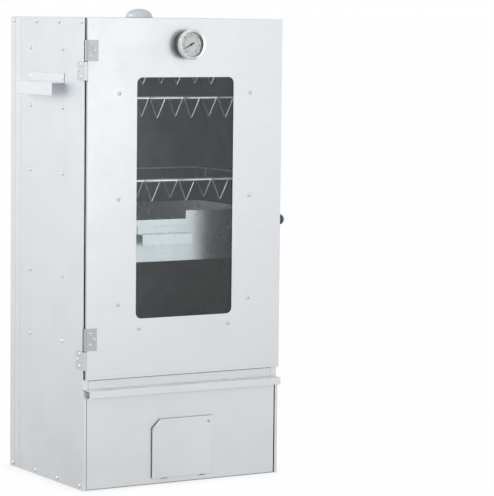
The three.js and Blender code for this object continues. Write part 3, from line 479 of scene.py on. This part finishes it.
SCALE_START, SCALE_SWEEP, SCALE_STEPS, TICKS_PER_STEP = -140, 280, 12, 5
RINGS = ((13.8, 0.35), (21.6, 0.25))
TICK_END, LONG_TICK, SHORT_TICK = 21.7, (19.3, 0.24), (20.4, 0.11)
NUMBER_R, NUMBER_SIZE = 16.9, 3.4
# Dark blocks on the right of the dial: a painted reflection, printed as blocks.
REFLECTION_BLOCKS = {"start": 52, "pitch": 10, "sweep": 8.5, "count": 7, "inner": 19.8, "outer": 21.8}


def dial_print(bm):
    """The dial's scale: two rings, ticks, dark blocks at the right that are a painted reflection, and plain
    numbers.
    """
    for radius, width in RINGS:
        ring = [(radius, 0), (radius + width, 0), (radius + width, 0.05), (radius, 0.05), (radius, 0)]
        add_lathe(bm, ring, (0, DIAL_FACE - 0.02 * MM, GAUGE.z), FORWARD, 96)
    ticks = SCALE_STEPS * TICKS_PER_STEP
    for tick in range(ticks + 1):
        angle = SCALE_START + SCALE_SWEEP * tick / ticks
        inner, half_width = SHORT_TICK if tick % TICKS_PER_STEP else LONG_TICK
        side = math.degrees(half_width / TICK_END)
        add_outline(bm, [on_dial(inner, angle - side), on_dial(TICK_END, angle - side),
                         on_dial(TICK_END, angle + side), on_dial(inner, angle + side)])
    # Painted reflection: dark blocks on the dial's right.
    for block in range(REFLECTION_BLOCKS["count"]):
        start = REFLECTION_BLOCKS["start"] + block * REFLECTION_BLOCKS["pitch"]
        arc = [start + REFLECTION_BLOCKS["sweep"] * i / 6 for i in range(7)]
        add_outline(bm, [on_dial(REFLECTION_BLOCKS["outer"], angle, 0.07) for angle in arc]
                    + [on_dial(REFLECTION_BLOCKS["inner"], angle, 0.07) for angle in reversed(arc)])
    for step in range(0, SCALE_STEPS + 1, 2):
        angle = SCALE_START + SCALE_SWEEP * step / SCALE_STEPS
        place = on_dial(NUMBER_R, angle, 0.08)
        add_text(bm, str(step * 10), NUMBER_SIZE * MM, place, -math.radians(angle), FORWARD)


GAUGE_GLASS = clear_glass("gauge_glass", (0.985, 0.99, 0.99), 0.004)
thermometer()
piece("gauge_scale", build("gauge_scale", dial_print), "door", "pointer")


# ---------------------------------------------------------------- latch knob
BALL_R, BALL_X, NECK_R = 10.25, 212.0, 4.6


def latch_knob(bm):
    """A ball on a short stepped neck."""
    low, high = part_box("latch_knob")
    centre = Vector((0, (low[1] + high[1]) / 2, (low[2] + high[2]) / 2))
    start = low[0] / MM
    profile = [(3.3, start), (5, start), (5, start + 1.6), (NECK_R, start + 2.2)]
    for i in range(17):
        angle = math.pi - math.pi * i / 16
        radius, height = BALL_R * math.sin(angle), BALL_X + BALL_R * math.cos(angle)
        if height > start + 2.6 and (radius > NECK_R or height > BALL_X):
            profile.append((radius, height))
    add_lathe(bm, profile, centre, (1, 0, 0), 64)


piece("knob_ball", build("knob_ball", latch_knob), "latch", "black", ("latch_knob",), crease=50)


# ---------------------------------------------------------------- vent lid
VENT_Y, VENT_PIVOT_Y, VENT_RIM, CROWN_R = 24.0, 54.0, 25.5, 23.9
EAR_HALF, EAR_HOLE, EAR_SIDES = 6.0, 1.7, 48


def vent_lid(bm):
    """A low spun dome with a flat rim, and the ear that its rivet goes through."""
    low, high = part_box("vent_lid")
    rise = (high[2] - low[2]) / MM
    rim = [(VENT_RIM - 0.8, 0), (VENT_RIM, 0.3), (VENT_RIM, 0.7), (VENT_RIM - 0.4, 1.1),
           (VENT_RIM - 1.2, 1.6)]
    angles = [math.pi / 2 * i / 14 for i in range(1, 14)]
    dome = [(CROWN_R * math.cos(a), 2.2 + (rise - 2.2) * math.sin(a)) for a in angles]
    hollow = [((CROWN_R - 1) * math.sin(a), 1.4 + (rise - 2.4) * math.cos(a)) for a in angles]
    centre = (0, VENT_Y * MM, low[2])
    add_lathe(bm, [*rim, *dome, (0, rise)], centre, UP, 72)
    add_lathe(bm, [(0, rise - 1), *hollow, (CROWN_R - 1, 0), (VENT_RIM - 0.8, 0)], centre, UP, 72)
    add_vent_ear(bm, low[2])


def add_vent_ear(bm, z):
    """A tongue round the pivot's hole: half round at its end, square towards the dome."""
    half, hole = EAR_HALF * MM, EAR_HOLE * MM
    rings = []
    for radius, level in ((half, z), (half, z + MM), (hole, z + MM), (hole, z)):
        verts = []
        for i in range(EAR_SIDES):
            x, y = math.cos(2 * math.pi * i / EAR_SIDES), math.sin(2 * math.pi * i / EAR_SIDES)
            reach = radius / max(abs(x), abs(y)) if y < 0 and radius == half else radius
            verts.append(bm.verts.new((x * reach, VENT_PIVOT_Y * MM + y * reach, level)))
        rings.append(verts)
    for one, two in zip(rings, rings[1:] + rings[:1]):
        for i in range(EAR_SIDES):
            j = (i + 1) % EAR_SIDES
            bm.faces.new((one[i], one[j], two[j], two[i]))


piece("vent_dome", build("vent_dome", vent_lid), "vent", "sheet", ("vent_lid",), VENT_SHEET)


# ---------------------------------------------------------------- wires
HOOK_Y = 6.0
HOOKS = {"top_hook_bar": -19.0, "middle_hook_bar": 12.0, "lower_hook_bar": 2.0}
HOOK_PITCH, HOOK_COUNT, HOOK_REACH, HOOK_DROP = 72.0, 5, 30.0, 37.0
HOOK_LIFT, HOOK_BEND = 1.5, 4.0
BAR_R, BAR_CHAMFER, HOOK_R = 2.5, 0.8, 1.05
RACK_R, RACK_BEND, RACK_FOOT_YS = 1.6, 9.0, (-99.0, 96.0)
# The hooks' darker wire is painted shade.
SHADED_HOOK_WIRE = bright_metal("shaded_hook_wire", (0.58, 0.60, 0.62), 0.28, metallic=0.5)


def hook_bar(node, shift):
    """A round bar with pointed double hooks; the hooks have a darker wire of their own, a painted shade."""
    low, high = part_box(node)
    bar_z = low[2] / MM + HOOK_DROP + HOOK_R * 0.5
    outline = [(-2 * HOOK_REACH, HOOK_LIFT), (-HOOK_REACH, -HOOK_DROP), (0, BAR_R + 0.3),
               (HOOK_REACH, -HOOK_DROP), (2 * HOOK_REACH, HOOK_LIFT)]

    def fill(bm):
        stops = (low[0], low[0] + BAR_CHAMFER * MM, high[0] - BAR_CHAMFER * MM, high[0])
        add_tube(bm, [(x, HOOK_Y * MM, bar_z * MM) for x in stops], BAR_R * MM, 20, (0.7, 0.7))
        bar_faces = len(bm.faces)
        for i in range(HOOK_COUNT):
            x = shift + (i - (HOOK_COUNT - 1) / 2) * HOOK_PITCH
            corners = [(x * MM, (HOOK_Y + y) * MM, (bar_z + z) * MM) for y, z in outline]
            path = rounded(corners, HOOK_BEND * MM)
            tip, tail = path[0], path[-1]
            path.insert(1, tip.lerp(path[1], 0.12))
            path.insert(-1, tail.lerp(path[-2], 0.12))
            add_tube(bm, path, HOOK_R * MM, 12, (0.15, 0.15))
        for face in list(bm.faces)[bar_faces:]:
            face.material_index = 1

    name = node.replace("_hook_bar", "_hooks")
    obj = piece(name, build(name, fill), "cabinet", "wire", (node,), crease=50)
    obj.data.materials.append(SHADED_HOOK_WIRE)
    return obj


HOOK_PIECES = [hook_bar(node, shift) for node, shift in HOOKS.items()]


def rack_wires(bm):
    """A bent wire frame, open to the front, on four feet."""
    low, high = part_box("rack_frame")
    wire = RACK_R * MM
    side, front, back = high[0] - 1.1 * wire, low[1], high[1] - 1.1 * wire
    z = high[2] - 1.1 * wire
    corners = [(-side, front, z), (-side, back, z), (side, back, z), (side, front, z)]
    add_tube(bm, rounded(corners, RACK_BEND * MM), wire, 16)
    for x in (-side, side):
        for y in (foot_y * MM for foot_y in RACK_FOOT_YS):
            add_tube(bm, [(x, y, low[2]), (x, y, low[2] + 0.4 * MM), (x, y, z)], wire, 16, (0.8, 1))


piece("rack_wires", build("rack_wires", rack_wires), "cabinet", "wire", ("rack_frame",), crease=50)


# ---------------------------------------------------------------- hems
HEM_WIDTH = 18.0


def back_hems(bm):
    """The pressed-down edges of the back sheet's bands, which run out on the side walls."""
    low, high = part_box("back_panel")
    wall, band = abs(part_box("left_side_panel")[0][0]) + 0.1 * MM, abs(low[0]) - 0.1 * MM
    thin, thick = low[1] - HEM_WIDTH * MM, low[1] - 0.3 * MM
    for side in (-1, 1):
        outline = [(side * wall, thin), (side * band, thick), (side * wall, thick)]
        foot = [bm.verts.new((x, y, low[2] + 0.5 * MM)) for x, y in outline]
        head = [bm.verts.new((x, y, high[2] - 0.5 * MM)) for x, y in outline]
        bm.faces.new(foot)
        bm.faces.new(head)
        for i in range(3):
            j = (i + 1) % 3
            bm.faces.new((foot[i], foot[j], head[j], head[i]))


piece("back_hems", build("back_hems", back_hems), "cabinet", "sheet", look=BACK_SHEET)


# ---------------------------------------------------------------- rivets
WALL_X, FRONT_Y, DOOR_Y = 200.3, -144.0, -152.3
WALL_RIVET_DEPTHS = (8.8, 96.0, 185.0)
WALL_RIVET_HEIGHTS = (824.5, 7.0)
CORNER_RIVET_DEPTH, CORNER_PROUD = 275.0, 1.3
RAIL_RIVET_DEPTHS = (80.0, 209.0)
RAIL_RIVET_HEIGHTS = (777.0, 672.5, 556.0, 374.0, 257.0)
HANDLE_RIVET_DEPTHS, HANDLE_RIVET_Z, HANDLE_SHEET_PROUD = (80.0, 210.0), 724.5, 1.0
WINDOW_RIVETS = ((133.5, 700.0), (134.0, 514.0), (133.5, 327.7), (92.0, 283.0))
LEAF = 1.2
DOOR_LEAF_RIVETS = ((-189.3, 10.5), (-181.5, 0.5), (-189.3, -9.0))
BODY_LEAF_RIVETS = ((8.5, 11.5), (16.5, 1.5), (8.5, -10.0))

# A domed head, big enough to hide the plain head under it, and the end of the broken-off pin in
# its hollow, near black as a painted shade of the hollow, as (radius, height).
RIVET_HEAD = [(0, -0.6), (3.8, -0.2), (3.85, 0.3), (3.5, 0.9), (2.9, 1.45), (2.1, 1.85), (1.5, 1.95),
              (1.2, 1.85), (1.1, 1.42), (0, 1.42)]
RIVET_PIN_SHADE = [(0, 1.43), (1.0, 1.43), (0.95, 1.5), (0.6, 1.56), (0, 1.58)]


def wall_spots():
    """Place and direction of the rivets on both walls, in millimetres."""
    spots = [(depth, z, 0.0) for z in WALL_RIVET_HEIGHTS for depth in WALL_RIVET_DEPTHS]
    spots += [(CORNER_RIVET_DEPTH, z, CORNER_PROUD) for z in WALL_RIVET_HEIGHTS]
    spots += [(depth, z, 0.0) for z in RAIL_RIVET_HEIGHTS for depth in RAIL_RIVET_DEPTHS]
    spots += [(depth, HANDLE_RIVET_Z, HANDLE_SHEET_PROUD) for depth in HANDLE_RIVET_DEPTHS]
    return [((side * (WALL_X + proud), FRONT_Y + depth, z), (side, 0, 0))
            for side in (-1, 1) for depth, z, proud in spots]


def window_spots():
    return [((side * x, DOOR_Y, z), FORWARD) for side in (-1, 1) for x, z in WINDOW_RIVETS]


def leaf_middle(node):
    """The height of a hinge leaf's middle, in millimetres."""
    low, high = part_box(node)
    return (low[2] + high[2]) / 2 / MM


def door_leaf_spots():
    return [((x, DOOR_Y - LEAF, leaf_middle(f"{hinge}_hinge_door_leaf") + rise), FORWARD)
            for hinge in ("upper", "lower") for x, rise in DOOR_LEAF_RIVETS]


def body_leaf_spots():
    return [((-WALL_X - LEAF, FRONT_Y + depth, leaf_middle(f"{hinge}_hinge_body_leaf") + rise), (-1, 0, 0))
            for hinge in ("upper", "lower") for depth, rise in BODY_LEAF_RIVETS]


def lathe_at_spots(name, profile, spots, sides):
    """One mesh that repeats a turned profile at every spot."""
    def fill(bm):
        for place, out in spots:
            add_lathe(bm, profile, tuple(MM * value for value in place), out, sides)

    return build(name, fill)


def rivet_group(name, spots, body):
    """Heads and the near-black pin ends in their hollows, a painted shade, at the same spots, as two pieces.
    """
    heads, cores = f"{name}_rivets", f"{name}_rivet_cores"
    piece(heads, lathe_at_spots(heads, RIVET_HEAD, spots, 32), body, "hinge", look=RIVET_METAL)
    piece(cores, lathe_at_spots(cores, RIVET_PIN_SHADE, spots, 20), body, "heater")


rivet_group("wall", wall_spots(), "cabinet")
rivet_group("window", window_spots(), "door")
rivet_group("door_leaf", door_leaf_spots(), "door")
rivet_group("body_leaf", body_leaf_spots(), "cabinet")


# ---------------------------------------------------------------- flap
GRIP_R, GRIP_INSET, GRIP_CUT = 1.3, 0.8, 16.3


def flap_grip(bm):
    """The bead rolled along the cut-off corner, which the finger pulls; it is made in the brighter tray
    sheet, a painted highlight along the corner.
    """
    low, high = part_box("draft_flap")
    start = Vector((low[0] + GRIP_INSET * MM, low[1], high[2] - GRIP_CUT * MM))
    end = Vector((low[0] + GRIP_CUT * MM, low[1], high[2] - GRIP_INSET * MM))
    add_tube(bm, [start, start.lerp(end, 0.04), end.lerp(start, 0.04), end], GRIP_R * MM, 16, (0.5, 0.5))


piece("flap_grip", build("flap_grip", flap_grip), "flap", "tray", crease=50)


# ---------------------------------------------------------------- heater and its controls
HEATER_Z = 112 * MM
BACK = 144 * MM
LOOP_HALF, LOOP_FRONT, LOOP_BEND, SHEATH_R = 70 * MM, -74 * MM, 22 * MM, 4 * MM
FLANGE_FRONT, FLANGE_BACK = BACK - 3.3 * MM, BACK - 1.3 * MM


def heater_loop(bm):
    """The bent sheath, its flange on the back sheet and the two glands that it passes through."""
    end = BACK + 16 * MM
    corners = [(-LOOP_HALF, end), (-LOOP_HALF, LOOP_FRONT), (LOOP_HALF, LOOP_FRONT), (LOOP_HALF, end)]
    add_tube(bm, rounded([(x, y, HEATER_Z) for x, y in corners], LOOP_BEND, 12), SHEATH_R, 20)
    low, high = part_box("heating_element")
    add_slab(bm, (low[0], FLANGE_FRONT, low[2]), (high[0], FLANGE_BACK, high[2]), 0.5 * MM)
    gland = [(0, -3), (6.4, -3), (6.4, 0), (5.6, 1.2), (4.2, 1.6), (0, 1.6)]
    for x in (-LOOP_HALF, LOOP_HALF):
        add_lathe(bm, gland, (x, BACK - 4 * MM, HEATER_Z), FORWARD, 32)


piece("heater_sheath", build("heater_sheath", heater_loop), "cabinet", "heater", ("heating_element",))

REAR = 186 * MM
GRIP_HALF, GRIP_THICK, GRIP_TOP = 13.6 * MM, 3 * MM, REAR + 20.9 * MM
MARK_R, MARK_SIZE, MARK_COUNT, MARK_START, MARK_PITCH = 16.8 * MM, 3.2 * MM, 7, -135, 45
LAMP_X = 50 * MM
PIN_START, PIN_PLACES = 169.2, ((-57.5, 112), (-46.5, 112), (-52, 115.5))
SCREW_INSET = 8 * MM


def control_dial(bm):
    """A skirted knob with a bar grip."""
    profile = [(0, 1.5), (19, 1.5), (19, 3.4), (18.4, 4), (15, 5), (14.2, 6), (13.6, 16), (12.8, 17.2),
               (11, 17.6), (0, 17.6)]
    add_lathe(bm, profile, (0, REAR, HEATER_Z), REARWARD, 96)
    add_slab(bm, (-GRIP_HALF, REAR + 8 * MM, HEATER_Z - GRIP_THICK),
             (GRIP_HALF, GRIP_TOP, HEATER_Z + GRIP_THICK), 1 * MM)


def control_marks(bm):
    """A pointer line on the grip and plain numbers round the skirt of the dial."""
    add_slab(bm, (3 * MM, REAR + 20.8 * MM, HEATER_Z - 0.5 * MM),
             (13 * MM, REAR + 20.96 * MM, HEATER_Z + 0.5 * MM))
    for step in range(MARK_COUNT):
        angle = math.radians(MARK_START + MARK_PITCH * step)
        place = (-MARK_R * math.sin(angle), REAR + 4.7 * MM, HEATER_Z + MARK_R * math.cos(angle))
        add_text(bm, str(step), MARK_SIZE, place, -angle, REARWARD)


piece("control_knob", build("control_knob", control_dial), "dial", "black", ("thermostat_dial",))
piece("control_marks", build("control_marks", control_marks), "dial", "dial")


def lamp_lens(bm):
    """A domed lens with a collar on a stem that goes through the cover."""
    profile = [(0, -14), (5, -14), (5, 0.3), (6.6, 0.3), (6.6, 1.6), (6.1, 2.8), (4.8, 4.2), (2.9, 5.1),
               (0, 5.4)]
    add_lathe(bm, profile, (LAMP_X, REAR, HEATER_Z), REARWARD, 48)


piece("lamp_lens", build("lamp_lens", lamp_lens), "cabinet", "lamp", ("pilot_lamp",))


def inlet_pins(bm):
    """Three round-nosed pins in the well of the inlet."""
    profile = [(0, -0.5), (1.6, -0.5), (1.6, 13.5), (1.1, 14.8), (0, 15)]
    for x, z in PIN_PLACES:
        add_lathe(bm, profile, (x * MM, PIN_START * MM, z * MM), REARWARD, 24)


piece("inlet_pins", build("inlet_pins", inlet_pins), "cabinet", "chrome")


def cover_screws(bm):
    """Round-headed screws with a socket, at the corners of the terminal box."""
    low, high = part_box("terminal_box")
    profile = [(0, -1), (1.6, -1), (1.6, 0.02), (3.5, 0.02), (3.2, 1.1), (2.1, 1.9), (0.9, 2.2),
               (0.5, 1.2), (0, 1.2)]
    for x in (low[0] + SCREW_INSET, high[0] - SCREW_INSET):
        for z in (low[2] + SCREW_INSET, high[2] - SCREW_INSET):
            add_lathe(bm, profile, (x, REAR, z), REARWARD, 32)


piece("cover_screws", build("cover_screws", cover_screws), "cabinet", "hinge")


# ---------------------------------------------------------------- studio
HORIZON, ZENITH = (1.0, 1.0, 1.0, 1), (0.62, 0.64, 0.66, 1)
LOW_SKY, LOW_SKY_HEIGHT = (0.80, 0.82, 0.835, 1), 0.12
FLOOR_R, FLOOR_Z = 2500, -0.0004
FLOOR_DIM, FLOOR_BRIGHT = 0.62, 0.88
CONTACT_REACH, CONTACT_SHADE = 0.05, 0.86
AIM = Vector((0, 0, 0.5))
# Name, place, size of a side and power.
LAMPS = (
    ("key", (0.3, -4.0, 0.8), 2.8, 28),
    ("top", (-0.4, -0.6, 3.2), 3.2, 13),
    ("fill", (-3.2, 1.0, 1.7), 1.8, 40),
    ("hook_light", (-0.81, -1.79, -1.6), 0.6, 105),
)


def make_world():
    """A pale sky: white at the horizon and below it, greyer overhead."""
    world = bpy.data.worlds.new("studio")
    world.use_nodes = True
    bpy.context.scene.world = world
    tree = world.node_tree
    spot = tree.nodes.new("ShaderNodeTexCoord").outputs["Generated"]
    height = tree.nodes.new("ShaderNodeSeparateXYZ")
    ramp = tree.nodes.new("ShaderNodeValToRGB")
    tree.links.new(spot, height.inputs[0])
    tree.links.new(height.outputs["Z"], ramp.inputs[0])
    tree.links.new(ramp.outputs[0], tree.nodes["Background"].inputs["Color"])
    stops = ramp.color_ramp.elements
    stops[0].color = HORIZON
    stops[1].color = ZENITH
    stops.new(LOW_SKY_HEIGHT).color = LOW_SKY


def studio_floor():
    """White paper: white where it is seen, with a soft painted contact shade; to reflections and bounce rays
    it glows as painted bounce light, dimmer near the object as a painted shade of it.
    """
    s = Surface("studio_floor")
    near = s.node("ShaderNodeVectorMath", {0: s.coord}, operation="LENGTH").outputs["Value"]
    # Painted shade of the object on the floor: the glow is dimmer near the object.
    bounce = s.remap(s.math("SQRT", near), 0.5, 2.4, FLOOR_DIM, FLOOR_BRIGHT)
    paper = s.mix(s.noise(0.6, 2), (0.985, 0.985, 0.985), (1.0, 1.0, 1.0))
    soft = s.node("ShaderNodeAmbientOcclusion", {"Distance": CONTACT_REACH}, samples=8).outputs["AO"]
    paper = s.mix(s.remap(soft, 0.3, 0.9, CONTACT_SHADE, 1.0), BLACK, paper)
    seen = s.node("ShaderNodeEmission", {"Color": paper, "Strength": 1.0}).outputs[0]
    unseen = s.node("ShaderNodeEmission", {"Color": (1, 1, 1, 1), "Strength": bounce}).outputs[0]
    eye = s.node("ShaderNodeLightPath").outputs["Is Camera Ray"]
    both = s.node("ShaderNodeMixShader", {"Fac": eye, 1: unseen, 2: seen}).outputs[0]
    s.feed(s.tree.nodes["Material Output"].inputs["Surface"], both)
    return s.material


def make_floor():
    """A wide sheet just under the object."""
    mesh = build("floor", lambda bm: bmesh.ops.create_circle(bm, cap_ends=True, radius=FLOOR_R, segments=96))
    mesh.materials.append(studio_floor())
    floor = bpy.data.objects.new("studio_floor", mesh)
    floor.location.z = FLOOR_Z
    bpy.context.collection.objects.link(floor)


def group(name, members):
    """A collection that only tells a lamp what it shines on, or what shades it."""
    found = bpy.data.collections.new(name)
    for member in members:
        found.objects.link(member)
    return found


def make_lamps():
    """Soft lamps round the object, and one that shines on the hook bars alone."""
    for name, place, size, power in LAMPS:
        data = bpy.data.lights.new(name, "AREA")
        data.size = size
        data.energy = power
        lamp = bpy.data.objects.new(name, data)
        lamp.location = place
        lamp.rotation_euler = (AIM - Vector(place)).to_track_quat("-Z", "Y").to_euler()
        bpy.context.collection.objects.link(lamp)
        if name == "hook_light":
            shades = [*HOOK_PIECES, frame["nodes"]["door_panel"]]
            lamp.light_linking.receiver_collection = group("hook_bars", HOOK_PIECES)
            lamp.light_linking.blocker_collection = group("hook_shades", shades)


bpy.context.scene.view_settings.view_transform = "Standard"
make_world()
make_floor()
make_lamps()
